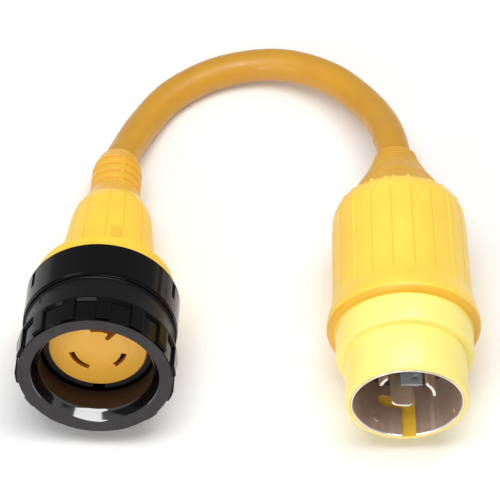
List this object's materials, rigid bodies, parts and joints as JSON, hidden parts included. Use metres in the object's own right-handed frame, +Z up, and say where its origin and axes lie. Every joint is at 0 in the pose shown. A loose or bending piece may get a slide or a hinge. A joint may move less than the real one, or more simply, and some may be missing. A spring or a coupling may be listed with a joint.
{
  "type": "power adapter lead",
  "caption": "Short shore power adapter lead: steel-lined locking plug with curved blades, bent yellow cable, locking connector with a turning black sealing ring.",
  "frame": {"origin": "bottom centre of the box round the plug and connector, on the surface the lead lies on", "axes": "+Z up; both ends open towards -Y; the connector is on the -X side and the plug on the +X side; the cable loops round on the +Y side"},
  "size_m": [0.2335, 0.2507, 0.0876],
  "materials": {
    "ring_black": "glossy moulded plastic",
    "gasket_rubber": "matte",
    "clip_steel": "blackened",
    "face_orange": "satin moulded",
    "insert_dark": "matte moulded",
    "brass": "plain",
    "boot_yellow": "satin moulded vinyl",
    "boot_orange": "satin moulded vinyl",
    "ferrule_steel": "plated",
    "jacket_yellow": "satin vinyl jacket",
    "wire_black": "insulation",
    "wire_white": "insulation",
    "wire_green": "insulation",
    "copper": "bare strand",
    "shell_steel": "nickel plated",
    "blade_brass": "nickel plated brass"
  },
  "bodies": {
    "adapter": {"retaining_ring": "clip_steel", "contact_carrier": "face_orange", "carrier_back": "insert_dark", "hot_contact": "brass", "neutral_contact": "brass", "ground_contact": "brass", "connector_cover": "boot_yellow", "connector_strain_relief": "boot_orange", "connector_ferrule": "ferrule_steel", "cable_jacket": "jacket_yellow", "hot_wire": "wire_black", "neutral_wire": "wire_white", "ground_wire": "wire_green", "wire_ends": "copper", "plug_strain_relief": "boot_orange", "plug_ferrule": "ferrule_steel", "plug_body": "boot_yellow", "plug_collar": "boot_yellow", "plug_nose": "boot_yellow", "plug_shell": "shell_steel", "blade_carrier": "insert_dark", "blade_x": "blade_brass", "blade_y": "blade_brass", "blade_w": "blade_brass", "hot_jumper": "copper", "ground_strap": "shell_steel", "strap_rivet": "shell_steel", "ground_lug": "brass"},
    "ring_washer": {"ring_gasket": "gasket_rubber"},
    "ring": {"sealing_ring": "ring_black"}
  },
  "joints": [
    {"name": "ring_slide", "type": "slide", "parent": "adapter", "child": "ring_washer", "axis": [-0.0489, -0.9827, 0.1788], "range_m": [0, 0.0055]},
    {"name": "ring_spin", "type": "hinge", "parent": "ring_washer", "child": "ring", "pos_m": [-0.07595, -0.05518, 0.04481], "axis": [-0.0489, -0.9827, 0.1788], "continuous": true}
  ]
}
